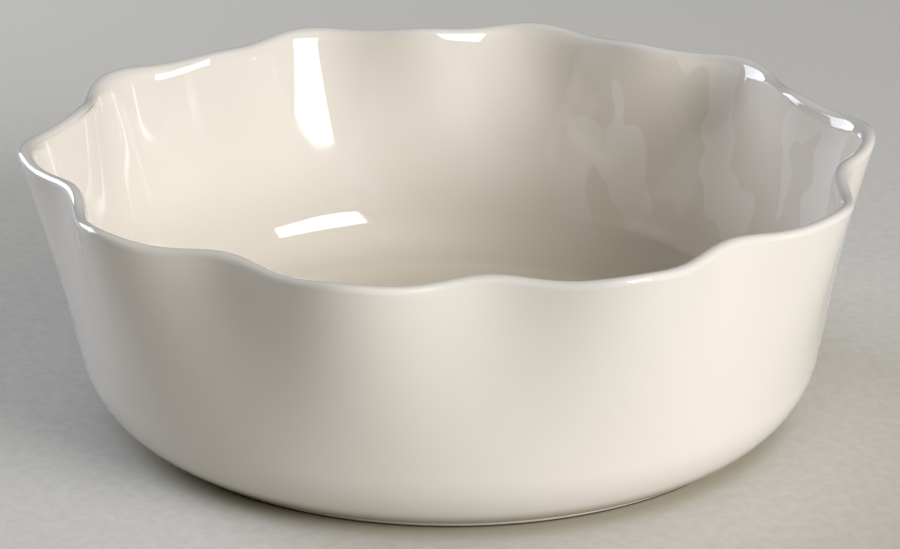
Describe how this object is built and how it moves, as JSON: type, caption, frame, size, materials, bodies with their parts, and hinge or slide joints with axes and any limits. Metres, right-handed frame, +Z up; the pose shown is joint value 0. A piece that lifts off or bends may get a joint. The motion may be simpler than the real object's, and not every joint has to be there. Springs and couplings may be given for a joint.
{
  "type": "pie dish",
  "caption": "Deep round pie dish with a turned base, a leaning fluted wall, a wavy rounded lip and a low foot ring.",
  "frame": {"origin": "on the dish's axis, in the plane that the foot ring stands on", "axes": "+Z up along the axis of the dish; one lobe of the rim points along +X"},
  "size_m": [0.2803, 0.2696, 0.0905],
  "materials": {
    "fired_clay": "matte, fine-grained, unglazed",
    "cream_glaze": "smooth high gloss"
  },
  "bodies": {
    "root": {"stoneware_body": "fired_clay", "glaze_coat": "cream_glaze", "base_glaze": "cream_glaze"}
  },
  "joints": []
}
